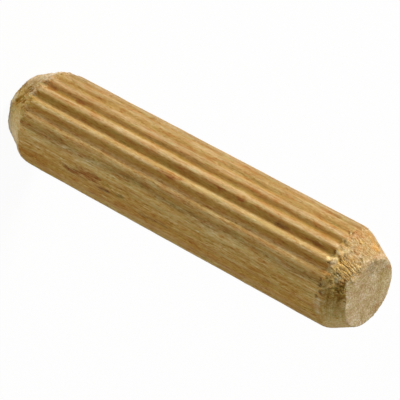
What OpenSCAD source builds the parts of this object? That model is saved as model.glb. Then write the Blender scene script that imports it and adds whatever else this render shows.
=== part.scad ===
// Fluted dowel pin of beech, standing on one of its flat sawn ends.
// A plain round rod is forced through a toothed die that presses straight flutes into it, is cut
// to length, and has both ends tapered so that they start easily in a drilled hole. The rod bore
// harder on one side of the die, so the flutes are deep there and shallow over the rest, and the
// top end was cut a little off centre, so its taper is longer on one side than on the other.
// The origin is the centre of the bottom face, and +Z runs along the pin.

/* [Pin] */
// Length from end to end
pin_len = 35; // [25:0.5:60]
// Diameter over the ridges, a press fit in a hole 0.2 smaller
pin_d = 8.2; // [7:0.1:12]

/* [Flutes] */
// Number of flutes pressed round the pin
flute_count = 21; // [14:1:24]
// Share of the way round that the ridges take up, where the flutes take the rest
ridge_share = 0.55; // [0.45:0.05:0.6]
// Depth of a flute on the side that bore hardest on the die
deep_flute = 0.32; // [0.15:0.01:0.35]
// Depth of a flute on the opposite side
shallow_flute = 0.1; // [0.08:0.01:0.15]
// Direction of the side with the deep flutes, from +X
deep_side = 254; // [0:1:359]
// How quickly the flutes get shallower away from the deep side
deep_side_focus = 4; // [1:1:8]
// Angle of the first flute round the pin, from +X
first_flute = 15; // [0:1:18]

/* [Bottom end] */
// Length of the taper at the bottom end
bottom_taper_len = 2.5; // [1:0.1:5]
// Diameter of the flat face that the pin stands on
bottom_face_d = 5.4; // [3:0.1:6.5]

/* [Top end] */
// Length of the taper at the top end, halfway between its long and its short side
top_taper_len = 2.4; // [1:0.1:5]
// Diameter of the flat face at the top end
top_face_d = 5.7; // [3:0.1:6]
// How far off the pin's axis the top end was cut
top_off_centre = 0.27; // [0:0.01:0.3]
// Direction in which the top face lies off the axis, from +X
top_off_side = 315; // [0:1:359]

/* [Rims] */
// Radius worn on the rim round each flat face
rim_r = 0.15; // [0.05:0.05:0.4]

/* [Hidden] */
$fn = 96;
pin_r = pin_d / 2;
pitch_angle = 360 / flute_count;
// Half the angle that a flute takes up
flute_half_angle = pitch_angle * (1 - ridge_share) / 2;
// Share of a flute's depth at which it meets the ridges beside it
meeting_share = 0.5;
// Share of a flute's depth at the corners of the core, a little under those meeting lines
core_share = 0.55;
// Steps that make up each worn rim
rim_steps = 4;
// How far the cutter that shapes the ends clears the rest of the pin
clearance = 0.2;

// A point at radius r and angle a
function polar(r, a) = [r * cos(a), r * sin(a)];

// Angle of flute i, and its depth, which falls from the deep side to the rest of the pin
function flute_angle(i) = first_flute + i * pitch_angle;
function flute_depth(i) =
    shallow_flute
    + (deep_flute - shallow_flute) * pow(max(0, cos(flute_angle(i) - deep_side)), deep_side_focus);

// A point in flute i at a share of its depth: on its middle line, or at the edge to either side
function flute_point(i, side, share) =
    polar(pin_r - share * flute_depth(i), flute_angle(i) + side * flute_half_angle);

// The crest of the ridge that follows flute i
function crest_point(i) = polar(pin_r, flute_angle(i) + pitch_angle / 2);

// Centre of the circle through three points
function circle_centre(a, b, c) =
    let (
        d = 2 * (a.x * (b.y - c.y) + b.x * (c.y - a.y) + c.x * (a.y - b.y)),
        aa = a * a,
        bb = b * b,
        cc = c * c
    ) [
        (aa * (b.y - c.y) + bb * (c.y - a.y) + cc * (a.y - b.y)) / d,
        (aa * (c.x - b.x) + bb * (a.x - c.x) + cc * (b.x - a.x)) / d
    ];

// The disc whose edge runs through three points
module disc_through(a, b, c) {
    centre = circle_centre(a, b, c);
    translate(centre)
        circle(r = norm(b - centre));
}

// Round ridges stand on a core, and round-bottomed flutes are pressed between them
module pressed_section() {
    difference() {
        union() {
            polygon([for (i = [0 : flute_count - 1], side = [-1, 1]) flute_point(i, side, core_share)]);
            for (i = [0 : flute_count - 1])
                disc_through(
                    flute_point(i, 1, meeting_share),
                    crest_point(i),
                    flute_point(i + 1, -1, meeting_share)
                );
        }
        for (i = [0 : flute_count - 1])
            disc_through(
                flute_point(i, -1, meeting_share),
                flute_point(i, 0, 1),
                flute_point(i, 1, meeting_share)
            );
    }
}

// The half outline of a tapered end, from the middle of its face: the face, its worn rim in steps,
// the taper, and then a collar that clears the rest of the pin on all sides
function end_outline(face_r, taper_len, half_len, off_centre) =
    let (
        // Angle of the taper from the axis, and how far the worn rim reaches along the face
        slope = atan((pin_r - face_r) / taper_len),
        reach = rim_r * tan((90 - slope) / 2),
        // How far the collar stands out from the pin's radius
        collar = off_centre + clearance
    ) [
        [0, 0],
        for (i = [0 : rim_steps])
            let (a = 90 - i * (90 - slope) / rim_steps)
                [face_r - reach + rim_r * cos(a), rim_r * (1 - sin(a))],
        [pin_r + collar, taper_len + collar / tan(slope)],
        [pin_r + collar, half_len],
        [0, half_len]
    ];

// What the end cutter leaves of one half of the pin, cut off centre by that much along +X
module end_half(face_d, taper_len, off_centre) {
    translate([off_centre, 0, 0])
        rotate_extrude()
            polygon(end_outline(face_d / 2, taper_len, pin_len / 2, off_centre));
}

module dowel() {
    color("burlywood")
        intersection() {
            linear_extrude(pin_len)
                pressed_section();
            union() {
                end_half(bottom_face_d, bottom_taper_len, 0);
                translate([0, 0, pin_len])
                    rotate(top_off_side)
                        mirror([0, 0, 1])
                            end_half(top_face_d, top_taper_len, top_off_centre);
            }
        }
}

dowel();
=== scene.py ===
"""A fluted dowel pin of bare beech: pressed flutes, cut and torn tapers, sawn end grain.

Lengths here are in millimetres and angles in degrees unless a name says otherwise. The frame is the
pin's own: +Z runs up the pin from the face that it stands on, and angles run round it from +X.
"""

import itertools
import math

import bpy
import numpy as np
from mathutils import Matrix, Vector


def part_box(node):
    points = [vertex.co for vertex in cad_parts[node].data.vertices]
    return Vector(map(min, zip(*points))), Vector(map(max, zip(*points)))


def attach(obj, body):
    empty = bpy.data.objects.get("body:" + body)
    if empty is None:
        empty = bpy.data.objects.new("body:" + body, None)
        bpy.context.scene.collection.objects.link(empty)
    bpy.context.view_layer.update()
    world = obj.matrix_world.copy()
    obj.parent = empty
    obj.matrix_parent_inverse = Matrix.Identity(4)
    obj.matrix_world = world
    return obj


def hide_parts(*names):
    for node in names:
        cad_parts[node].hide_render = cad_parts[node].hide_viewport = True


MM = 0.001

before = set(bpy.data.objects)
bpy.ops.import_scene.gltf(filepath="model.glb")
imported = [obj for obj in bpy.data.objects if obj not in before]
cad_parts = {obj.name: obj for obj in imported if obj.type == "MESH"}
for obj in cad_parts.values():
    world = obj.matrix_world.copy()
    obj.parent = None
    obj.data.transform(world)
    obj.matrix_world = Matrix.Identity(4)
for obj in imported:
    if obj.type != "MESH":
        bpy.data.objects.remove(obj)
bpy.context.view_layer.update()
low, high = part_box("dowel")
PIN_LEN = (high.z - low.z) / MM
PIN_R = max(v.co.xy.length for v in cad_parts["dowel"].data.vertices) / MM

# The pressed section: round ridges between round-bottomed flutes, which are deepest on one side
FLUTES = 21
RIDGE_SHARE = 0.55
DEEP_FLUTE = 0.32
SHALLOW_FLUTE = 0.1
DEEP_SIDE = 254.0
DEEP_SIDE_FOCUS = 4
FIRST_FLUTE = 15.0
PITCH = 360 / FLUTES
FLUTE_HALF = PITCH * (1 - RIDGE_SHARE) / 2

# Share of a flute's depth at which it meets the ridges beside it
MEETING_SHARE = 0.5

# The tapers, of which the top one was cut a little off the pin's axis
BOTTOM_TAPER_LEN = 2.5
BOTTOM_FACE_R = 2.7
TOP_TAPER_LEN = 2.4
TOP_FACE_R = 2.85
TOP_OFF_CENTRE = 0.27
TOP_OFF_SIDE = 315.0
TOP_SLOPE = (PIN_R - TOP_FACE_R) / TOP_TAPER_LEN
RIM_R = 0.15

# The shank isn't cut, so what stands for its cut is this far clear of it
CLEAR = 1.0

# Mesh spacing
COLUMNS_PER_RIDGE = 16
COLUMNS = FLUTES * COLUMNS_PER_RIDGE
RIM_ROWS = 4
TAPER_ROW = 0.055
SHANK_ROWS = 140

# The side of the pin that shows in the main view is at -Y
FRONT = -90.0

# Direction from the middle of the tree outwards, round the pin
TREE_RADIUS = FRONT + 50

# How far the wear of the top rim reaches in over the face, as a share of how far it goes down
WORN_REACH = 0.5

# Sides of the tapers where the cutter tore the fibres instead of cutting them: degrees from the
# front, half width, how softly the torn part ends, and how badly it is torn
TORN_TOP = ((-19, 36, 12, 1.0), (165, 20, 12, 0.8))
TORN_BOTTOM = ((-35, 36, 14, 1.0), (-160, 30, 16, 0.7))

# Painted shade in the flutes lies a little towards their shaded side, and makes them browner by changing
# red, green and blue by this share
FLUTE_SHADE_SHIFT = 3
FLUTE_SHADE_TINT = (0.0, 0.03, -0.2)

# Painted shade in the pits and gaps of torn wood: how much darker they are painted for each millimetre
# of their depth, at the two ends
TOP_PIT_DARKNESS = 10
BOTTOM_PIT_DARKNESS = 18

# What the skin tells its material about each point
PAINTED_ZONES = ("cut", "face", "torn", "flute", "crest", "golden", "streaky", "rubbed", "recess")


# ---------------------------------------------------------------- fields


# The largest whole number of 32 bits, to which the random numbers below are kept
WORD = 0xFFFFFFFF


def scrambled(number):
    """Whole numbers from 0 to WORD that look random but are the same each run."""
    for factor in (0x7FEB352D, 0x846CA68B):
        number = ((number ^ (number >> 16)) * factor) & WORD
    return number ^ (number >> 16)


def noise(points, cell, seed):
    """Smooth random field from -1 to 1, with one random value at each corner of cells of that size."""
    scaled = points / np.array(cell, float)
    base = np.floor(scaled)
    part = scaled - base
    part = part * part * (3 - 2 * part)
    total = np.zeros(len(points))
    for corner in itertools.product((0, 1), repeat=3):
        i, j, k = (base + corner).astype(np.int64).T & WORD
        mixed = ((i * 73856093) ^ (j * 19349663) ^ (k * 83492791) ^ (seed * 2654435761)) & WORD
        value = scrambled(mixed) / (WORD >> 1) - 1
        weight = np.prod(np.where(corner, part, 1 - part), axis=1)
        total += weight * value
    return total


def random_for(number, seed):
    """A random value from 0 to 1 for each whole number."""
    return scrambled((number.astype(np.int64) * 2654435761 + seed * 40503) & WORD) / WORD


def step(value, start, end):
    """0 before start, 1 after end, smooth between."""
    share = np.clip((value - start) / (end - start), 0, 1)
    return share * share * (3 - 2 * share)


def around(angle, middle, half_width, soft):
    """1 within half_width of an angle round the pin, falling to 0 over soft degrees."""
    away = np.abs((angle - middle + 180) % 360 - 180)
    return 1 - step(away, half_width, half_width + soft)


# ---------------------------------------------------------------- form


def flute_angle(number):
    """The direction of the middle of a flute."""
    return FIRST_FLUTE + number * PITCH


def section_point(number, turn, share):
    """A point turned from the middle of a flute, at a share of that flute's depth."""
    towards = max(0.0, math.cos(math.radians(flute_angle(number) - DEEP_SIDE)))
    depth = SHALLOW_FLUTE + (DEEP_FLUTE - SHALLOW_FLUTE) * towards**DEEP_SIDE_FOCUS
    angle = math.radians(flute_angle(number) + turn)
    return (PIN_R - share * depth) * np.array([math.cos(angle), math.sin(angle)])


def circle_through(a, b, c):
    """Centre and radius of the circle through three points."""
    sides = np.array([a - b, c - b])
    centre = b + np.linalg.solve(sides, (sides**2).sum(axis=1) / 2)
    return centre, math.dist(centre, b)


def worn_depth(points, angle):
    """How far below the top face the rim is worn away, at points and their angles in degrees."""
    deep = 0.44 * around(angle, FRONT - 3, 3, 34)
    slight = 0.09 * around(angle, FRONT - 55, 22, 20)
    return (0.04 + deep + slight) * (1 + 0.25 * noise(points, (0.35, 0.35, 5), 41))


def wear_rim(points):
    """The points with the top rim worn down to a slope."""
    x, y, z = points.T
    radius, turn = np.hypot(x, y), np.arctan2(y, x)
    depth = worn_depth(points, np.degrees(turn))
    rim = from_axis(TOP_FACE_R, turn, TOP_OFF_CENTRE)
    slope = WORN_REACH + TOP_SLOPE
    above = radius - rim + WORN_REACH * depth - slope * (PIN_LEN - z)
    moved = np.clip(above, 0, None) / (1 + slope**2) * (z > PIN_LEN / 2)
    shrink = 1 - moved / np.maximum(radius, 0.1)
    return np.stack([x * shrink, y * shrink, z - slope * moved], axis=-1)


def column_angles():
    """Columns round the pin in radians, with one on each flute and the rest evenly between."""
    return np.radians(FIRST_FLUTE + np.arange(COLUMNS) * 360 / COLUMNS)


def section_radius(angles):
    """Radius of the fluted section at each angle, given in radians: arcs of flutes and ridges in turn."""
    across, up = np.cos(angles), np.sin(angles)
    turned = np.degrees(angles) - FIRST_FLUTE + FLUTE_HALF
    number = np.floor(turned / PITCH).astype(int)
    in_flute = turned - number * PITCH < 2 * FLUTE_HALF
    number %= FLUTES
    reach = np.zeros_like(angles)
    for i in range(FLUTES):
        before = section_point(i, -FLUTE_HALF, MEETING_SHARE)
        after = section_point(i, FLUTE_HALF, MEETING_SHARE)
        beyond = section_point(i + 1, -FLUTE_HALF, MEETING_SHARE)
        flute = circle_through(before, section_point(i, 0, 1), after)
        ridge = circle_through(after, section_point(i, PITCH / 2, 0), beyond)
        for (centre, radius), here, side in ((flute, in_flute, -1), (ridge, ~in_flute, 1)):
            along = centre[0] * across + centre[1] * up
            under = np.clip(along**2 - (centre @ centre - radius**2), 0, None)
            reach = np.where(here & (number == i), along + side * np.sqrt(under), reach)
    return reach


def end_outline(face_r, taper_len, off_centre):
    """Rows of one tapered end, as (radius of the cut, height above its face), from the face to the rod."""
    slope = (PIN_R - face_r) / taper_len
    turn = math.pi / 2 - math.atan(slope)
    reach = RIM_R * math.tan(turn / 2)
    rows = []
    for i in range(RIM_ROWS + 1):
        a = math.pi / 2 - turn * i / RIM_ROWS
        rows.append((face_r - reach + RIM_R * math.cos(a), RIM_R - RIM_R * math.sin(a)))
    radius, height = rows[-1]
    for rise in np.arange(TAPER_ROW, taper_len + off_centre / slope + TAPER_ROW - height, TAPER_ROW):
        rows.append((radius + rise * slope, height + rise))
    return rows


def from_axis(cut_radius, angles, off_centre):
    """Distance from the pin's axis to a round cut that may stand off it, at angles in radians."""
    away = angles - math.radians(TOP_OFF_SIDE)
    return off_centre * np.cos(away) + np.sqrt(cut_radius**2 - (off_centre * np.sin(away)) ** 2)


def top_taper_start(angle):
    """How far below the top face the taper begins, at angles in degrees."""
    return TOP_TAPER_LEN - TOP_OFF_CENTRE * np.cos(np.radians(angle - TOP_OFF_SIDE)) / TOP_SLOPE


def side_grid():
    """Points of the pin's side, row by row from the bottom face's edge to the top face's edge."""
    bottom = [(r, 0, h) for r, h in end_outline(BOTTOM_FACE_R, BOTTOM_TAPER_LEN, 0)]
    top = [
        (r, TOP_OFF_CENTRE, PIN_LEN - h)
        for r, h in reversed(end_outline(TOP_FACE_R, TOP_TAPER_LEN, TOP_OFF_CENTRE))
    ]
    heights = np.linspace(bottom[-1][2], top[0][2], SHANK_ROWS + 2)[1:-1]
    shank = [(PIN_R + CLEAR, 0, h) for h in heights]
    cut, off_centre, height = np.array(bottom + shank + top).T
    angles = column_angles()
    limit = from_axis(cut[:, None], angles[None, :], off_centre[:, None])
    radius = np.minimum(section_radius(angles)[None, :], limit)
    x = radius * np.cos(angles)[None, :]
    y = radius * np.sin(angles)[None, :]
    z = np.broadcast_to(height[:, None], x.shape)
    return np.stack([x, y, z], axis=-1)


def disc_cells():
    """A square grid bent into a disc: its inner points as (share of radius, column), and a lookup.

    The square's edge has one point for each column of the side, so the face joins the side exactly.
    """
    side = COLUMNS // 4
    inner, lookup = [], {}
    for i in range(side + 1):
        for j in range(side + 1):
            u, v = 2 * i / side - 1, 2 * j / side - 1
            share = max(abs(u), abs(v))
            if share == 0:
                turn = 0.0
            elif abs(u) >= abs(v):
                turn = v / u + (0 if u > 0 else 4)
            else:
                turn = 2 - u / v + (0 if v > 0 else 4)
            column = (turn % 8) / 8 * COLUMNS
            if share > 1 - 1e-9:
                lookup[i, j] = ("edge", int(round(column)) % COLUMNS)
            else:
                lookup[i, j] = ("inner", len(inner))
                inner.append((share, column))
    return side, inner, lookup


def pin_mesh():
    """Points and faces of the whole skin as one closed mesh: side, top face and bottom face."""
    grid = side_grid()
    rows = grid.shape[0]
    points = [grid.reshape(-1, 3)]
    index = np.arange(rows * COLUMNS).reshape(rows, COLUMNS)
    faces = []
    for r in range(rows - 1):
        for c in range(COLUMNS):
            n = (c + 1) % COLUMNS
            faces.append((index[r, c], index[r, n], index[r + 1, n], index[r + 1, c]))
    side, inner, lookup = disc_cells()
    share, column = np.array(inner).T
    count = rows * COLUMNS
    for edge_row, flip in ((0, True), (rows - 1, False)):
        edge = grid[edge_row]
        after = np.vstack([edge, edge[:1]])
        marks = np.arange(COLUMNS + 1)
        x = np.interp(column, marks, after[:, 0]) * share
        y = np.interp(column, marks, after[:, 1]) * share
        points.append(np.stack([x, y, np.full_like(x, edge[0, 2])], axis=-1))
        place = {
            key: index[edge_row, n] if kind == "edge" else count + n for key, (kind, n) in lookup.items()
        }
        for i in range(side):
            for j in range(side):
                quad = (place[i, j], place[i + 1, j], place[i + 1, j + 1], place[i, j + 1])
                faces.append(quad[::-1] if flip else quad)
        count += len(inner)
    return np.vstack(points), faces


def make_object(name, points, faces, smooth=True):
    """A mesh object from points in mm."""
    mesh = bpy.data.meshes.new(name)
    mesh.from_pydata((points * MM).tolist(), [], [tuple(int(v) for v in f) for f in faces])
    mesh.validate()
    mesh.polygons.foreach_set("use_smooth", [smooth] * len(mesh.polygons))
    mesh.update()
    piece = bpy.data.objects.new(name, mesh)
    bpy.context.scene.collection.objects.link(piece)
    return piece


def vertex_normals(mesh):
    """The mesh's normal at each of its points."""
    normals = np.zeros(len(mesh.vertices) * 3, np.float32)
    mesh.vertex_normals.foreach_get("vector", normals)
    return normals.reshape(-1, 3).astype(float)


def paint(mesh, name, values):
    """Stores one number for each vertex, for the material to read by name."""
    layer = mesh.attributes.new(name, "FLOAT", "POINT")
    layer.data.foreach_set("value", np.asarray(values, np.float32))


# ---------------------------------------------------------------- colours and zones


def ray_angle(facing):
    """Angle round the pin of a place that is so many degrees from the front, positive towards +X."""
    return FRONT + facing


def from_front(angle):
    """The reverse: degrees from the front, from -180 to 180."""
    return (angle - FRONT + 180) % 360 - 180


# Colour of the wood round the pin, as degrees from the front and a colour: the shank, then the tapers.
# Some stops are painted shade and light rather than the wood's own colour: on the shank, darker on the
# top side that the key lights most, darker in the flute near 20, lighter on the crest near 28, and more
# saturated on the lower side for its warmer shade; on the top taper, lighter near -10, partly as painted
# light over the shade among its torn fibres; on the bottom taper, palest near 48, partly as painted
# light standing in for light from behind.
SIDE_TINTS = (
    (-120, "B08C55"), (-73, "A58554"), (-66, "B28C50"), (-59, "9E7D45"), (-51, "C49F64"), (-45, "A6824E"),
    (-39, "B8935E"), (-33, "CAA770"), (-26, "BA9864"), (-10, "C2A061"), (0, "C8A46A"), (7, "B48E50"),
    (14, "C8A664"), (20, "AC8C50"), (28, "D2B067"), (36, "C5A159"), (50, "C09540"), (66, "BC9039"),
    (80, "BC984A"), (120, "BC9454"),
)
TOP_TINTS = (
    (-100, "B08C56"), (-70, "A47F47"), (-50, "B2905C"), (-30, "BD9F70"), (-10, "F6D68F"), (8, "B4975A"),
    (30, "987426"), (50, "C6AD6A"), (70, "D6B973"), (90, "C7A454"), (150, "C4A468"),
)
BOTTOM_TINTS = (
    (-100, "BFA276"), (-50, "D8C29C"), (-30, "B29460"), (-10, "D0AF68"), (10, "C8AA60"), (28, "DEC68A"),
    (48, "FAE4B7"), (80, "E0C88E"), (150, "C4A468"),
)
FACE_TINT = "B79E70"

# Places where the wood has another colour: degrees from the front, radius, height, half width,
# half length along the pin, strength, colour
PATCHES = (
    # Reddish and brown spots on the shank
    (-7.5, 4.0, 17.3, 0.28, 1.0, 0.8, "AE7230"),
    (-6.0, 4.0, 16.7, 0.18, 0.8, 0.8, "AA6820"),
    (0.0, 4.0, 18.4, 0.1, 0.4, 0.5, "7E5622"),
    (-22.0, 3.85, 21.3, 0.24, 0.9, 0.8, "A8661C"),
    (-21.5, 3.85, 23.7, 0.24, 0.7, 0.9, "A46018"),
    (-23.0, 3.9, 25.0, 0.18, 0.6, 0.8, "A86A20"),
    (-17.0, 3.8, 27.5, 0.18, 0.7, 0.6, "8A5420"),
    (-17.0, 3.8, 31.2, 0.2, 1.2, 0.5, "8A5020"),
    (-34.5, 3.9, 6.0, 0.2, 0.6, 0.6, "A3612A"),
    (-35.0, 3.9, 2.9, 0.3, 0.6, 0.6, "A66A30"),
    (44.0, 4.0, 8.4, 0.26, 1.1, 0.9, "8E5A18"),
    (39.0, 4.0, 9.7, 0.35, 1.3, 0.7, "9A5E1C"),
    (47.0, 4.0, 11.4, 0.22, 0.8, 0.9, "84500E"),
    (43.5, 4.0, 13.4, 0.22, 0.8, 0.8, "6E5414"),
    (54.0, 4.0, 16.4, 0.16, 1.3, 0.6, "8A5A1C"),
    (24.0, 4.0, 22.0, 0.12, 1.4, 0.4, "8E6A34"),
    (48.0, 4.0, 28.5, 0.12, 1.5, 0.5, "84581E"),
    (16.0, 4.0, 14.5, 0.15, 1.6, 0.4, "8E6434"),
    (9.0, 4.0, 26.5, 0.16, 2.2, 0.5, "B0702C"),
    (8.5, 4.0, 29.0, 0.15, 0.9, 0.6, "B2702C"),
    (58.0, 4.0, 3.4, 0.5, 1.6, 0.5, "B0741E"),
    (60.0, 4.0, 12.0, 0.35, 3.5, 0.4, "AA6A24"),
    (64.0, 4.0, 24.0, 0.3, 4.0, 0.4, "A8681F"),
    (140.0, 4.0, 12.0, 0.25, 1.5, 0.5, "A05C20"),
    (-150.0, 4.0, 22.0, 0.3, 1.8, 0.5, "A05C20"),
    (110.0, 4.0, 26.0, 0.2, 1.2, 0.4, "946030"),
    (-105.0, 4.0, 9.0, 0.25, 1.4, 0.5, "A05C20"),
    # The top taper
    (-54.0, 3.9, 32.8, 0.5, 0.35, 0.6, "B27648"),
    (-73.0, 3.2, 34.1, 0.5, 0.4, 0.8, "CC943E"),
    (-80.0, 3.7, 33.3, 0.6, 0.8, 0.5, "C08A3C"),
    (-82.0, 2.9, 34.7, 0.6, 0.2, 0.6, "D4B08C"),
    (-60.0, 2.8, 34.85, 0.5, 0.15, 0.6, "D0B088"),
    (-38.0, 2.8, 34.85, 0.5, 0.15, 0.5, "CDAF84"),
    (-33.0, 3.5, 33.7, 0.14, 0.2, 0.6, "8A6A38"),
    (-31.5, 3.2, 34.35, 0.18, 0.2, 0.8, "7A5E30"),
    (-12.0, 3.5, 33.8, 0.6, 0.8, 0.5, "CC9C3E"),
    (-16.0, 4.0, 32.6, 0.2, 0.2, 0.6, "85703A"),
    (5.0, 3.6, 33.6, 0.4, 0.3, 0.6, "85794A"),
    (7.0, 3.5, 33.9, 0.3, 0.2, 0.5, "B8B08A"),
    (2.0, 3.3, 34.4, 0.3, 0.25, 0.6, "A87848"),
    (16.0, 3.4, 34.2, 0.45, 0.5, 0.85, "705214"),
    (36.0, 2.95, 34.6, 0.5, 0.3, 0.8, "D8BC80"),
    # Pale crumbs at the top end of the deepest flute, partly painted light over its shade
    (-15.0, 3.9, 33.0, 0.4, 0.25, 0.6, "FFE6A8"),
    (14.0, 3.7, 33.4, 0.3, 0.25, 0.7, "70541C"),
    (28.0, 3.9, 33.2, 0.8, 0.3, 0.5, "745620"),
    (48.0, 4.0, 33.0, 0.7, 0.3, 0.5, "E0CCA0"),
    (-5.0, 3.9, 33.05, 0.25, 0.2, 0.5, "FFECC8"),
    (-5.0, 3.0, 34.7, 0.3, 0.2, 0.5, "FFE4B0"),
    (1.0, 3.8, 33.1, 0.22, 0.3, 0.8, "DCCB98"),
    (8.0, 3.7, 33.3, 0.2, 0.35, 0.8, "D8C894"),
    # Dark holes at the top shoulder, painted dark as painted shade
    (21.0, 4.0, 32.85, 0.22, 0.18, 0.9, "643C02"),
    (28.0, 4.0, 33.05, 0.26, 0.15, 0.9, "643C02"),
    (34.0, 4.0, 32.8, 0.22, 0.15, 0.8, "6E4608"),
    # Gaps and crumbs in its torn side: painted shade in the gaps, and on the crumbs their own pale colour
    # with painted light
    (-25.0, 4.0, 32.95, 0.3, 0.25, 0.5, "9A7A48"),
    (-17.0, 3.9, 32.65, 0.16, 0.2, 0.8, "6A4010"),
    (-5.0, 4.0, 32.8, 0.13, 0.15, 0.8, "6A4010"),
    (-16.0, 3.8, 33.25, 0.12, 0.16, 0.7, "7A4E18"),
    (-9.5, 3.5, 33.85, 0.12, 0.2, 0.7, "7A4E18"),
    (-3.5, 3.6, 33.5, 0.1, 0.14, 0.8, "6A4010"),
    (14.5, 4.0, 32.8, 0.15, 0.12, 0.8, "643C02"),
    (7.5, 3.2, 34.2, 0.2, 0.2, 0.6, "70481A"),
    (-9.0, 4.0, 32.6, 0.15, 0.2, 0.8, "FFE0A0"),
    (-10.0, 3.7, 33.35, 0.13, 0.16, 0.8, "FFF0C8"),
    (-2.0, 3.75, 33.2, 0.12, 0.14, 0.8, "FFF0D0"),
    (12.0, 3.6, 33.6, 0.1, 0.2, 0.8, "E8E0C0"),
    (9.5, 3.35, 34.0, 0.1, 0.2, 0.7, "E0D8B0"),
    (18.0, 3.9, 33.05, 0.12, 0.14, 0.8, "C8B888"),
    (-14.0, 3.2, 34.4, 0.12, 0.2, 0.8, "FFE9A8"),
    (-27.5, 4.0, 32.5, 0.12, 0.14, 0.7, "F0D0A0"),
    (-53.0, 3.6, 33.35, 0.12, 0.3, 0.7, "F0CC80"),
    (-35.0, 3.25, 34.15, 0.15, 0.12, 0.7, "F4DCB8"),
    # The bottom taper
    (-42.0, 3.8, 2.2, 0.5, 0.4, 0.7, "CDB896"),
    (-62.0, 3.2, 0.6, 0.9, 0.6, 0.6, "CBB28C"),
    (-19.0, 3.8, 1.9, 0.4, 0.4, 0.6, "C8B290"),
    (-35.0, 3.9, 2.2, 0.35, 0.4, 0.6, "8A6A38"),
    (2.0, 2.9, 0.35, 0.6, 0.25, 0.8, "FFF4D0"),
    (-72.0, 3.8, 1.9, 1.0, 0.6, 0.6, "F4E8D4"),
    (-26.0, 3.2, 0.9, 0.3, 0.25, 0.6, "DCC48E"),
    (38.0, 2.9, 0.35, 0.9, 0.25, 0.5, "FFF2D2"),
    # The sawn top face
    (-44.0, 2.4, 35.0, 0.7, 0.3, 0.7, "94805C"),
    (-80.0, 2.1, 35.0, 0.7, 0.3, 0.5, "9C8358"),
    (-108.0, 2.35, 35.0, 0.25, 0.3, 0.7, "A8683A"),
    (-114.0, 1.5, 35.0, 0.6, 0.3, 0.4, "AFA05C"),
    (-155.0, 1.6, 35.0, 0.7, 0.3, 0.35, "B0A266"),
    (34.0, 1.2, 35.0, 0.5, 0.3, 0.5, "C6A688"),
    (75.0, 2.4, 35.0, 0.8, 0.3, 0.5, "C8B088"),
    (-5.0, 2.4, 34.7, 0.7, 0.4, 0.3, "A58650"),
    (156.0, 1.6, 35.0, 0.25, 0.3, 0.5, "A9A188"),
    (157.0, 2.1, 35.0, 0.35, 0.3, 0.5, "A8783F"),
    (-20.0, 0.25, 35.0, 0.08, 0.1, 0.8, "7A5E34"),
)


def tint_round(facing, stops):
    """Colour at each direction from the front, smooth between the stops and on round the back."""
    places = [place for place, _ in stops]
    channels = zip(*(linear(colour)[:3] for _, colour in stops))
    return np.stack([np.interp(facing, places, channel, period=360) for channel in channels], axis=-1)


def wood_tints(points, zone):
    """Colour of the wood at each point before its grain: by surface, painted shade in the flutes, patches
    over it.
    """
    at_top = points[:, 2:] > PIN_LEN / 2
    facing = zone["facing"] + 4 * noise(points, (0.5, 0.5, 3.0), 33)
    taper = np.where(at_top, tint_round(facing, TOP_TINTS), tint_round(facing, BOTTOM_TINTS))
    colour = tint_round(facing, SIDE_TINTS)
    # The flutes are painted browner here as painted shade
    colour *= 1 + zone["flute"][:, None] * np.array(FLUTE_SHADE_TINT)
    colour += zone["taper"][:, None] * (taper - colour)
    colour += zone["face"][:, None] * (linear(FACE_TINT)[:3] - colour)
    uneven = 0.5 * noise(points, (0.15, 0.15, 0.5), 31) + 0.4 * noise(points, (0.3, 0.3, 1.2), 32)
    for direction, radius, height, half_width, half_length, strength, tint in PATCHES:
        turn = math.radians(ray_angle(direction))
        middle = np.array([radius * math.cos(turn), radius * math.sin(turn), height])
        away = np.linalg.norm((points - middle) / [half_width, half_width, half_length], axis=1)
        share = strength * (1 - step(away + uneven, 0.5, 1.3))
        colour += share[:, None] * (linear(tint)[:3] - colour)
    return colour


def torn_at(angle, sides):
    """How badly the fibres are torn at each angle, by whichever of the torn sides is worst there."""
    badly = [amount * around(angle, ray_angle(facing), half, soft) for facing, half, soft, amount in sides]
    return np.max(badly, axis=0)


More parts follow.
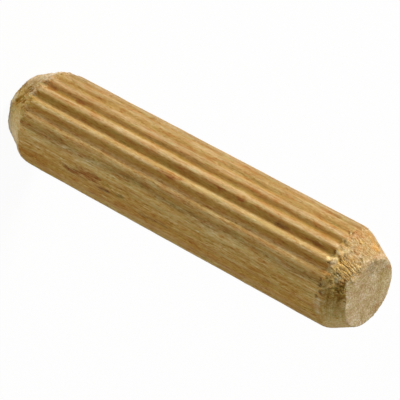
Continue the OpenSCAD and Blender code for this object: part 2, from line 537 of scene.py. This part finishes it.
def zones(points):
    """Where each point of the skin lies and what it is, from 0 for not at all to 1 for fully.

    The golden side has a stronger grain, the streaky one has long bands, and the rubbed side of the
    top taper has rings left by the cutter.
    """
    x, y, z = points.T
    radius = np.hypot(x, y)
    angle = np.degrees(np.arctan2(y, x))
    facing = from_front(angle)
    section = section_radius(np.radians(angle))
    worn = worn_depth(points, angle)
    face = np.maximum(1 - step(z, 0.0, 0.05), 1 - step(PIN_LEN - z - worn, -0.04, 0.04))
    frayed = 0.03 * noise(points, (0.2, 0.2, 0.3), 13)
    cut = np.where(face > 0.5, 0, step(section - radius + frayed, 0.004, 0.05))
    # The mark for the flutes' painted shade is taken a little towards each flute's shaded side
    depth = PIN_R - section_radius(np.radians(angle + FLUTE_SHADE_SHIFT))
    at_top = z > PIN_LEN / 2
    from_end = np.where(at_top, PIN_LEN - z, z)

    # The torn parts have a ragged outline and reach a little over the shoulders
    ragged = 7 * noise(points, (0.35, 0.35, 1.2), 11)
    torn_side = np.where(
        at_top, torn_at(angle + ragged, TORN_TOP), torn_at(angle + ragged, TORN_BOTTOM)
    )
    taper_len = np.where(at_top, top_taper_start(angle), BOTTOM_TAPER_LEN)
    reach = taper_len + 0.15 + 0.35 * noise(points, (0.3, 0.3, 40), 12)
    torn = torn_side * (1 - step(from_end, reach - 0.04, reach + 0.04))
    # A recess just inside the edge of the torn wood, at the front, which the material also paints darker
    # as painted shade
    recess = torn * step(from_end, reach - 0.6, reach - 0.15) * around(angle, ray_angle(15), 22, 12)
    shoulder = 1 - step(np.abs(from_end - taper_len), 0.05, 0.4)
    return {
        "angle": angle,
        "facing": facing,
        "z": z,
        "from_end": from_end,
        "face": face,
        "cut": cut,
        "taper": cut * (1 - 0.8 * step(from_end - taper_len, -0.7, 0.0)),
        "torn": torn * (1 - face),
        # Painted shade in the flutes, strongest in the deepest one
        "flute": step(depth, 0.05, 0.26) * (0.6 + 0.4 * around(angle, ray_angle(-17), 12, 14)),
        "crest": 1 - step(PIN_R - section, 0.0, 0.05),
        "recess": recess,
        "shoulder": shoulder * (1 - torn),
        "golden": around(angle, ray_angle(62), 34, 50),
        "streaky": around(angle, ray_angle(31), 11, 14),
        "rubbed": np.where(at_top, around(angle + ragged, ray_angle(36), 22, 14), 0.0),
    }


# ---------------------------------------------------------------- relief


def broken_bundles(zone, width, length, seed):
    """Height over the taper of bundles of fibres that run straight on and then break off in steps."""
    across = np.radians(zone["angle"]) * PIN_R / width
    wander = 0.7 * noise(np.stack([across, zone["from_end"] / 0.5, across * 0], axis=-1), (1, 1, 1), seed)
    bundle = np.floor(across + wander)
    own_length = length * (0.6 + 0.9 * random_for(bundle, seed))
    beyond = (-zone["from_end"] / own_length + 7 * random_for(bundle, seed + 1)) % 1
    return beyond * own_length * TOP_SLOPE


def slanted(zone, lean, length, width, seed):
    """Noise drawn out along lines on the side that lean so many degrees from the pin's axis."""
    turn = math.radians(lean)
    across = np.radians(zone["facing"]) * PIN_R
    along = zone["z"] * math.cos(turn) + across * math.sin(turn)
    over = across * math.cos(turn) - zone["z"] * math.sin(turn)
    return noise(np.stack([along, over, along * 0], axis=-1), (length, width, 1), seed)


def torn_relief(points, zone):
    """Height of the torn wood above the clean form, in mm, and the painted shade of its pits and gaps."""
    angle, from_end = zone["angle"], zone["from_end"]
    at_top = zone["z"] > PIN_LEN / 2
    coarse = broken_bundles(zone, width=0.34, length=0.7, seed=21)
    fine = broken_bundles(zone, width=0.12, length=0.45, seed=22)
    crumbs = 0.02 * noise(points, (0.09, 0.09, 0.2), 6) + 0.025 * noise(points, (0.25, 0.25, 0.5), 7)
    pits = -0.06 * step(noise(points, (0.13, 0.13, 0.5), 8), 0.45, 0.75)

    # Strands lie aslant over the top taper, and cracks run aslant through the bottom one
    strands = slanted(zone, lean=17, length=0.9, width=0.085, seed=15)
    strands *= around(angle, ray_angle(-9), 9, 7) * at_top
    strands *= 1 - step(from_end, 1.4, 1.8)
    cracks = slanted(zone, lean=-58, length=0.5, width=0.11, seed=17)
    cracks *= around(angle, ray_angle(-3), 18, 9) * ~at_top
    cracks *= step(from_end, 0.1, 0.5) * (1 - step(from_end, 1.6, 2.1))
    gaps = -0.07 * step(-strands, 0.05, 0.45) - 0.12 * step(cracks, 0.0, 0.35)

    # Fibres pushed together by the cutter choke the top end of the deepest flute
    choked = around(angle, ray_angle(-14), 6, 4) * (1 - step(np.abs(from_end - 2.1), 0.25, 0.5))
    choked = choked * at_top
    pits = pits * (1 - 0.5 * choked)

    # The bottom taper was left a little proud, and the top one was torn below the cut
    raised = 0.08 * (1 - step(from_end, BOTTOM_TAPER_LEN - 0.8, BOTTOM_TAPER_LEN))
    proud = np.where(at_top, -0.05, raised) + 0.09 * strands
    broken = (0.2 * coarse + 0.3 * fine + crumbs + pits) * (1 - 0.7 * step(np.abs(strands), 0.0, 0.1))
    broken *= np.where(at_top, 1.0, 0.6)
    height = broken + gaps + proud - 0.05 * zone["recess"] + 0.1 * choked
    # Pits and gaps are painted darker by their depth, as painted shade
    return height, -(pits + gaps) * np.where(at_top, TOP_PIT_DARKNESS, BOTTOM_PIT_DARKNESS)


def relief(points, zone):
    """Height of the wood's own surface above the clean form, in mm, and the painted shade of its pits."""
    z = zone["z"]
    side = (1 - zone["cut"]) * (1 - zone["face"]) * (1 - zone["torn"])
    wander = 0.016 * noise(points, (0.9, 0.9, 4.5), 1)
    fibres = 0.016 * noise(points, (0.15, 0.15, 2.0), 2) + 0.012 * noise(points, (0.09, 0.09, 0.7), 3)
    nicks = -0.03 * step(noise(points, (0.16, 0.16, 0.6), 14), 0.45, 0.75) * zone["crest"]
    marks = 0.012 * noise(np.stack([z * 0, z * 0, z], axis=-1), (1, 1, 0.11), 4)
    cut_fibres = 0.014 * noise(points, (0.12, 0.12, 0.3), 5)
    torn, pits = torn_relief(points, zone)
    sawn = 0.010 * noise(points, (0.12, 0.12, 0.5), 9) + 0.014 * noise(points, (0.45, 0.45, 2), 10)
    height = side * (wander + fibres + nicks) + zone["torn"] * torn
    height += zone["cut"] * (1 - zone["torn"]) * (marks + cut_fibres) + zone["face"] * (sawn - 0.02)
    height -= 0.05 * zone["shoulder"] * (1 + noise(points, (0.3, 0.3, 0.4), 16))

    # The bottom taper bulges at its +X shoulder, and its rim has a blunt corner at the front
    lip = around(zone["angle"], ray_angle(86), 14, 14) * (1 - step(np.abs(z - 1.95), 0.15, 0.55))
    corner = around(zone["angle"], ray_angle(4), 7, 16) * (1 - step(z, 0.1, 1.1))
    height += 0.1 * lip + 0.1 * corner
    return height, pits * zone["torn"]


def beech_skin():
    """The pin's skin, with its relief and the numbers that its material reads."""
    points, faces = pin_mesh()
    piece = make_object("beech_pin", points, faces)
    zone = zones(points)
    height, pits = relief(points, zone)
    moved = wear_rim(points) + vertex_normals(piece.data) * height[:, None]
    moved[:, 2] = np.clip(moved[:, 2], 0, PIN_LEN)
    piece.data.vertices.foreach_set("co", (moved * MM).astype(np.float32).ravel())
    piece.data.update()
    for name in PAINTED_ZONES:
        paint(piece.data, name, zone[name])
    paint(piece.data, "pit", pits)
    tints = np.column_stack([wood_tints(points, zone), np.ones(len(points))])
    layer = piece.data.attributes.new("tint", "FLOAT_COLOR", "POINT")
    layer.data.foreach_set("color", tints.astype(np.float32).ravel())
    return piece


# ---------------------------------------------------------------- loose fibres


def surface_radius(angle, z):
    """Radius of the clean form at an angle in degrees and a height."""
    turn = np.radians(np.array([angle]))
    bottom = BOTTOM_FACE_R + z * (PIN_R - BOTTOM_FACE_R) / BOTTOM_TAPER_LEN
    top = from_axis(TOP_FACE_R + (PIN_LEN - z) * TOP_SLOPE, turn, TOP_OFF_CENTRE)
    return min(section_radius(turn)[0], top[0], bottom)


# A sliver is rooted a little under the surface, thins towards its tip, and is flatter than wide
SLIVER_STEPS = 4
SLIVER_ROOT = 0.04
SLIVER_THINNING = 0.75
SLIVER_FLATNESS = 0.6
SWAY_SPREAD = 12
LOOK_AHEAD = 0.2


def sliver(rng, angle, z, length, width, lift, bend, sway):
    """One closed sliver that runs towards its own end of the pin and comes to a point.

    It is rooted just under the surface, lifts by an angle in degrees, bends outwards by another, and
    leans sideways by a third.
    """
    towards_end = 1 if z > PIN_LEN / 2 else -1
    radius = surface_radius(angle, z)
    ahead = surface_radius(angle, z + LOOK_AHEAD * towards_end)
    slope = math.atan2(ahead - radius, LOOK_AHEAD)
    turn = math.radians(angle)
    outward = np.array([math.cos(turn), math.sin(turn), 0])
    sideways = np.array([-math.sin(turn), math.cos(turn), 0])
    along = np.array([0, 0, towards_end])
    sway = rng.normal(sway, SWAY_SPREAD)
    place = (radius - SLIVER_ROOT) * outward + z * np.array([0, 0, 1])
    rings = []
    for i in range(SLIVER_STEPS):
        share = i / SLIVER_STEPS
        climb = slope + math.radians(lift + bend * share)
        drift = math.radians(sway * (0.4 + share))
        ahead_dir = math.cos(climb) * along + math.sin(climb) * outward
        side_dir = math.cos(drift) * sideways - math.sin(drift) * ahead_dir
        ahead_dir = math.cos(drift) * ahead_dir + math.sin(drift) * sideways
        up_dir = np.cross(ahead_dir, side_dir)
        half = width / 2 * (1 - SLIVER_THINNING * share) * side_dir
        thick = width / 2 * (1 - SLIVER_THINNING * share) * SLIVER_FLATNESS * up_dir
        rings.append([place + half, place + thick, place - half, place - thick])
        place = place + ahead_dir * length / SLIVER_STEPS
    points = [corner for ring in rings for corner in ring] + [place]
    faces = [(0, 1, 2, 3)]
    for i in range(SLIVER_STEPS - 1):
        for j in range(4):
            a, b = 4 * i + j, 4 * i + (j + 1) % 4
            faces.append((a, a + 4, b + 4, b))
    tip = 4 * SLIVER_STEPS
    for j in range(4):
        a, b = tip - 4 + j, tip - 4 + (j + 1) % 4
        faces.append((a, tip, b))
    return points, faces


def loose_fibres(name, count, seed, angles, heights, lengths, widths, lifts, bends, tones, sway=0):
    """Many slivers in one piece, each drawn at random between the pairs of limits.

    The angles are from the front, as a middle and a spread, the tones go from golden to whitish, and
    the sway is how far the slivers lean sideways.
    """
    rng = np.random.default_rng(seed)
    points, faces, own_tones = [], [], []
    for _ in range(count):
        angle = ray_angle(rng.normal(*angles))
        drawn = [rng.uniform(*limits) for limits in (heights, lengths, widths, lifts, bends)]
        own_points, own_faces = sliver(rng, angle, *drawn, sway)
        faces += [tuple(len(points) + v for v in face) for face in own_faces]
        points += own_points
        own_tones += [rng.uniform(*tones)] * len(own_points)
    points = np.array(points)
    points[:, 2] = np.clip(points[:, 2], 0, PIN_LEN)
    piece = make_object(name, points, faces, smooth=False)
    paint(piece.data, "tone", own_tones)
    return piece


# ---------------------------------------------------------------- materials


def linear(hex_colour):
    """An sRGB hex colour as linear RGBA."""
    channels = [int(hex_colour[i : i + 2], 16) / 255 for i in (0, 2, 4)]
    return [c / 12.92 if c <= 0.04045 else ((c + 0.055) / 1.055) ** 2.4 for c in channels] + [1.0]


def blank_material(name):
    """A material without nodes, and its node tree."""
    material = bpy.data.materials.new(name)
    material.use_nodes = True
    material.node_tree.nodes.clear()
    return material, material.node_tree


def add(tree, kind, inputs=None, **settings):
    """Adds one node with its settings and links.

    Each input goes by its name, or by its place among those in use, and takes a value, a socket, or
    another node, which then gives its first output in use.
    """
    made = tree.nodes.new("ShaderNode" + kind)
    for name, value in settings.items():
        setattr(made, name, value)
    in_use = [socket for socket in made.inputs if socket.enabled]
    for name, value in (inputs or {}).items():
        target = in_use[name] if isinstance(name, int) else made.inputs[name]
        if isinstance(value, bpy.types.Node):
            value = next(socket for socket in value.outputs if socket.enabled)
        if isinstance(value, bpy.types.NodeSocket):
            tree.links.new(value, target)
        else:
            target.default_value = value
    return made


def grain(tree, wood, cell, detail=2.0, roughness=0.5):
    """Pattern whose features measure cell, in mm, along the radial, tangential and fibre directions."""
    scaled = add(tree, "Mapping", {"Vector": wood, "Scale": [1 / c for c in cell]})
    look = {"Vector": scaled, "Scale": 1.0, "Detail": detail, "Roughness": roughness}
    return add(tree, "TexNoise", look)


def summed(tree, start, *parts):
    """A number plus shares of patterns, given as (share, pattern)."""
    for share, pattern in parts:
        start = add(tree, "Math", {0: pattern, 1: share, 2: start}, operation="MULTIPLY_ADD")
    return start


def coated(tree, colour, coats):
    """A colour under coats, each given as (pattern, where it starts, where it is full, how much, hex)."""
    for pattern, start, full, amount, coat in coats:
        limits = {"From Min": start, "From Max": full, "To Max": amount}
        cover = add(tree, "MapRange", {"Value": pattern, **limits})
        colour = add(tree, "Mix", {0: cover, 1: colour, 2: linear(coat)}, data_type="RGBA")
    return colour


# Dry wood without a finish
DRY_WOOD = {"Roughness": 0.6, "IOR": 1.5}

# How much light dry wood mirrors where it is pressed or cut, and where it is torn
SMOOTH_GLOSS = 0.18
TORN_GLOSS = 0.05


def bare_beech():
    """Bare beech, pressed by the die, cut at the tapers and sawn at the ends.

    To the eye it is warm tan with fine straight streaks and short dark ray flecks, browner in the
    flutes and a little paler on the crests, which are painted shade and painted highlight, pale and
    crumbly where the fibres are torn, with painted shade in its pits, gaps and recess, and a
    grey-beige speckle on end grain. Its fibres and pores are really 0.02 to 0.08 mm across, too fine
    to show, so the finest patterns here are drawn at about 0.1 mm.
    """
    material, tree = blank_material("bare_beech")
    place = add(tree, "TexCoord").outputs["Object"]
    in_mm = add(tree, "VectorMath", {0: place, "Scale": 1 / MM}, operation="SCALE")
    wood = add(tree, "Mapping", {"Vector": in_mm, "Rotation": (0, 0, math.radians(-TREE_RADIUS))})
    tint = add(tree, "Attribute", attribute_name="tint").outputs["Color"]
    painted = {
        name: add(tree, "Attribute", attribute_name=name).outputs["Fac"]
        for name in PAINTED_ZONES + ("pit",)
    }

    # The tint drifts from tan to pale, orange and olive, and on end grain to pinkish and yellowish
    pale_drift = grain(tree, wood, (0.6, 0.6, 3.0))
    drift = grain(tree, wood, (0.3, 0.3, 1.5), detail=3.0)
    speckle = grain(tree, wood, (0.16, 0.16, 3.0), detail=1.0)
    side = summed(tree, 1.0, (-1.0, painted["face"]))
    less_golden = summed(tree, 0.35, (-0.25, painted["golden"]))
    pale = add(tree, "Math", {0: side, 1: less_golden}, operation="MULTIPLY")
    orange = summed(tree, 0.0, (0.35, side))
    olive = summed(tree, 0.0, (0.3, side))
    speckled = summed(tree, 0.0, (0.35, painted["face"]))
    coats = (
        (pale_drift, 0.45, 0.7, pale, "CBAC7C"),
        (drift, 0.52, 0.7, orange, "BE7C38"),
        (drift, 0.46, 0.3, olive, "9C9450"),
        (speckle, 0.5, 0.7, speckled, "D2AC90"),
        (speckle, 0.5, 0.3, speckled, "B4A862"),
    )
    tint = coated(tree, tint, coats)

    # The patterns of its grain, of which those called places are where short marks can lie
    broad = grain(tree, wood, (0.35, 0.35, 5.0))
    streaks = grain(tree, wood, (0.08, 0.08, 1.1), detail=3.0, roughness=0.65)
    short = grain(tree, wood, (0.07, 0.07, 0.3), detail=3.0, roughness=0.65)
    long_bands = grain(tree, wood, (0.17, 0.17, 2.0))
    mottle = grain(tree, wood, (0.25, 0.25, 0.4))
    clouds = grain(tree, wood, (0.9, 0.9, 3.0))
    pores = grain(tree, wood, (0.11, 0.11, 3.0), detail=3.0, roughness=0.65)
    dash_places = grain(tree, wood, (0.1, 0.1, 0.45), detail=1.0)
    ray_places = grain(tree, wood, (2.5, 0.15, 1.1), detail=1.0)
    speck_places = grain(tree, wood, (0.1, 0.1, 0.3), detail=1.0)
    rub_places = grain(tree, wood, (4.0, 4.0, 0.2))
    dashes = add(tree, "MapRange", {"Value": dash_places, "From Min": 0.58, "From Max": 0.68})
    rays = add(tree, "MapRange", {"Value": ray_places, "From Min": 0.62, "From Max": 0.7})
    specks = add(tree, "MapRange", {"Value": speck_places, "From Min": 0.58, "From Max": 0.7})
    limits = {"From Min": 0.45, "From Max": 0.65, "To Max": painted["rubbed"]}
    rubs = add(tree, "MapRange", {"Value": rub_places, **limits})

    # The fine grain shows more on the golden side, and bands only where the side is streaky
    fine = summed(tree, -0.8, (1.0, streaks), (0.6, short))
    strength = summed(tree, 1.0, (0.7, painted["golden"]))
    fine = add(tree, "Math", {0: fine, 1: strength}, operation="MULTIPLY")
    side_dashes = add(tree, "Math", {0: dashes, 1: strength}, operation="MULTIPLY")
    bands = summed(tree, -0.5, (1.0, long_bands))
    bands = add(tree, "Math", {0: bands, 1: painted["streaky"]}, operation="MULTIPLY")

    # Darker wood is more saturated too, so a shade is the tint raised to a power
    patterns = (0.6, broad), (0.6, drift), (1.2, bands), (1.0, fine), (0.3, side_dashes), (0.12, rays)
    # Painted shade in the flutes, and a slight painted highlight on the crests
    shade = summed(tree, 0.4, *patterns, (0.45, painted["flute"]), (-0.05, painted["crest"]))
    cut = summed(tree, -0.75, (2.3, short), (1.1, mottle), (0.35, dashes), (0.45, rubs))
    patterns = (2.2, short), (0.8, mottle), (0.45, specks)
    # Painted shade in the pits, gaps and recess of the torn wood
    torn = summed(tree, -0.55, *patterns, (0.4, painted["pit"]), (0.2, painted["recess"]))
    sawn = summed(tree, -0.9, (2.8, pores), (1.0, clouds))
    for share, own_shade in ((painted["cut"], cut), (painted["torn"], torn), (painted["face"], sawn)):
        shade = add(tree, "Mix", {0: share, 1: shade, 2: own_shade}, data_type="FLOAT")
    colour = add(tree, "Gamma", {"Color": tint, "Gamma": shade})

    gloss = add(tree, "Mix", {0: painted["torn"], 1: SMOOTH_GLOSS, 2: TORN_GLOSS}, data_type="FLOAT")
    raised = add(tree, "Bump", {"Strength": 0.7, "Distance": 0.03 * MM, "Height": streaks})
    finer = {"Strength": 0.6, "Distance": 0.02 * MM, "Height": short}
    raised = add(tree, "Bump", {**finer, "Normal": raised})
    look = {"Base Color": colour, "Specular IOR Level": gloss, "Normal": raised}
    shader = add(tree, "BsdfPrincipled", {**DRY_WOOD, **look})
    add(tree, "OutputMaterial", {"Surface": shader})
    return material


def loose_fibre():
    """A torn-off sliver of beech: thin, dry and a little see-through, from golden to nearly white."""
    material, tree = blank_material("loose_fibre")
    tone = add(tree, "Attribute", attribute_name="tone").outputs["Fac"]
    coats = ((tone, 0.0, 0.5, 1.0, "D0AC70"), (tone, 0.5, 1.0, 1.0, "E2CFA4"))
    colour = coated(tree, linear("D8AC48"), coats)
    shader = add(tree, "BsdfPrincipled", {**DRY_WOOD, "Base Color": colour})
    through = add(tree, "BsdfTranslucent", {"Color": colour})
    mixed = add(tree, "MixShader", {0: 0.2, 1: shader, 2: through})
    add(tree, "OutputMaterial", {"Surface": mixed})
    return material


# ---------------------------------------------------------------- stage


# The floor is wide enough to fill the view from any side, and lies just under the pin, in metres
FLOOR_WIDTH = 3.0
FLOOR_GAP = 0.01 * MM

# How much of the floor that the camera sees is plain white, where the rest keeps the soft shadow
FLOOR_WHITE = 0.95

# Light of the pale room on the pin
ROOM_LIGHT = 0.38

# Lamps: direction from the pin, distance and width in metres, and light on it, where 1 is full
LAMPS = {
    "key": ((-0.844, -0.149, 0.514), 0.30, 0.10, 0.95),
    "back_fill": ((0.45, 0.80, 0.40), 0.40, 0.30, 0.15),
}

# The camera: its angle off the pin's axis and its roll, its lens in mm, and, in radii of the pin, its
# distance and how far to the right of the pin's middle and above it the camera aims
CAMERA_OFF_AXIS = 59.66
CAMERA_ROLL = 90 + 28.39
CAMERA_LENS = 271.5975
CAMERA_DISTANCE = 57.48
CAMERA_AIM = (0.1004, -0.0818)


def studio_floor():
    """A plain pale floor under the pin. Where the camera sees it, it is near white with a soft shadow."""
    half = FLOOR_WIDTH / 2
    corners = [(x * half, y * half, -FLOOR_GAP) for x, y in ((-1, -1), (1, -1), (1, 1), (-1, 1))]
    mesh = bpy.data.meshes.new("studio_floor")
    mesh.from_pydata(corners, [], [(0, 1, 2, 3)])
    floor = bpy.data.objects.new("studio_floor", mesh)
    bpy.context.scene.collection.objects.link(floor)
    material, tree = blank_material("pale_floor")
    matte = add(tree, "BsdfDiffuse", {"Color": linear("F2F1EE")})
    white = add(tree, "Emission", {"Strength": 1.0})
    seen = add(tree, "LightPath").outputs["Is Camera Ray"]
    share = add(tree, "Math", {0: seen, 1: FLOOR_WHITE}, operation="MULTIPLY")
    mixed = add(tree, "MixShader", {0: share, 1: matte, 2: white})
    add(tree, "OutputMaterial", {"Surface": mixed})
    mesh.materials.append(material)


def studio_light():
    """One broad key from the pin's -X side and above, with a pale room all round."""
    world = bpy.data.worlds.new("pale_room")
    bpy.context.scene.world = world
    world.use_nodes = True
    tree = world.node_tree
    tree.nodes.clear()
    room = add(tree, "Background", {"Color": linear("FFFFFF"), "Strength": ROOM_LIGHT})
    white = add(tree, "Background", {"Color": linear("FFFFFF"), "Strength": 1.0})
    seen = add(tree, "LightPath").outputs["Is Camera Ray"]
    mixed = add(tree, "MixShader", {0: seen, 1: room, 2: white})
    add(tree, "OutputWorld", {"Surface": mixed})

    for name, (towards, distance, width, level) in LAMPS.items():
        lamp = bpy.data.lights.new(name, "AREA")
        lamp.shape = "DISK"
        lamp.size = width
        lamp.energy = level * math.pi**2 * distance**2
        holder = bpy.data.objects.new(name, lamp)
        bpy.context.scene.collection.objects.link(holder)
        away = Vector(towards).normalized()
        holder.location = Vector((0, 0, PIN_LEN / 2 * MM)) + away * distance
        holder.rotation_mode = "QUATERNION"
        holder.rotation_quaternion = away.to_track_quat("Z", "Y")


def studio_camera():
    """Looks down the pin from its top, rolled so that the pin lies across the picture."""
    off_axis = math.radians(CAMERA_OFF_AXIS)
    roll = math.radians(CAMERA_ROLL)
    back = Vector((0, -math.sin(off_axis), math.cos(off_axis)))
    level_right = Vector((1, 0, 0))
    level_up = back.cross(level_right)
    right = math.cos(roll) * level_right + math.sin(roll) * level_up
    up = back.cross(right)
    camera = bpy.data.cameras.new("camera")
    camera.sensor_width = 36
    camera.lens = CAMERA_LENS
    camera.clip_start = 0.01
    camera.clip_end = 10
    holder = bpy.data.objects.new("camera", camera)
    bpy.context.scene.collection.objects.link(holder)
    offset = CAMERA_AIM[0] * right + CAMERA_AIM[1] * up + CAMERA_DISTANCE * back
    place = Vector((0, 0, PIN_LEN / 2 * MM)) + PIN_R * MM * offset
    turn = Matrix((right, up, back)).transposed()
    holder.matrix_world = Matrix.Translation(place) @ turn.to_4x4()
    bpy.context.scene.camera = holder


# ---------------------------------------------------------------- build


studio_camera()
studio_floor()
studio_light()

pin = beech_skin()
pin.data.materials.append(bare_beech())
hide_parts("dowel")

# Loose fibres, with places and sizes between limits in mm and directions in degrees
near_top = (PIN_LEN - TOP_TAPER_LEN - 0.3, PIN_LEN - 0.3)
near_bottom = (0.05, BOTTOM_TAPER_LEN + 0.3)
shank = (BOTTOM_TAPER_LEN + 0.5, PIN_LEN - TOP_TAPER_LEN - 0.5)
strands = (PIN_LEN - 1.7, PIN_LEN - 0.9)
fibres = [
    loose_fibres(
        "torn_top", count=200, seed=1, angles=(-22, 20), heights=near_top, lengths=(0.2, 0.6),
        widths=(0.025, 0.05), lifts=(2, 12), bends=(0, 12), tones=(0.2, 0.8), sway=10,
    ),
    loose_fibres(
        "golden_strands", count=24, seed=6, angles=(-9, 7), heights=strands, lengths=(0.7, 1.3),
        widths=(0.08, 0.15), lifts=(3, 9), bends=(0, 6), tones=(0, 0.4), sway=18,
    ),
    loose_fibres(
        "torn_top_back", count=140, seed=2, angles=(165, 9), heights=near_top, lengths=(0.2, 0.5),
        widths=(0.03, 0.06), lifts=(0, 10), bends=(0, 10), tones=(0.2, 0.8),
    ),
    loose_fibres(
        "torn_bottom", count=120, seed=3, angles=(-25, 22), heights=near_bottom, lengths=(0.3, 0.8),
        widths=(0.03, 0.06), lifts=(1, 7), bends=(0, 8), tones=(0, 0.6),
    ),
    loose_fibres(
        "torn_bottom_back", count=160, seed=4, angles=(-170, 20), heights=near_bottom,
        lengths=(0.2, 0.6), widths=(0.03, 0.06), lifts=(2, 16), bends=(0, 20), tones=(0, 1),
    ),
    loose_fibres(
        "raised_grain", count=600, seed=5, angles=(0, 100), heights=shank, lengths=(0.3, 1.2),
        widths=(0.02, 0.04), lifts=(1, 4), bends=(0, 4), tones=(0, 0.5),
    ),
]
fibre = loose_fibre()
for piece in fibres:
    piece.data.materials.append(fibre)
for piece in [pin] + fibres:
    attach(piece, "root")

bpy.context.scene.view_settings.view_transform = "Standard"
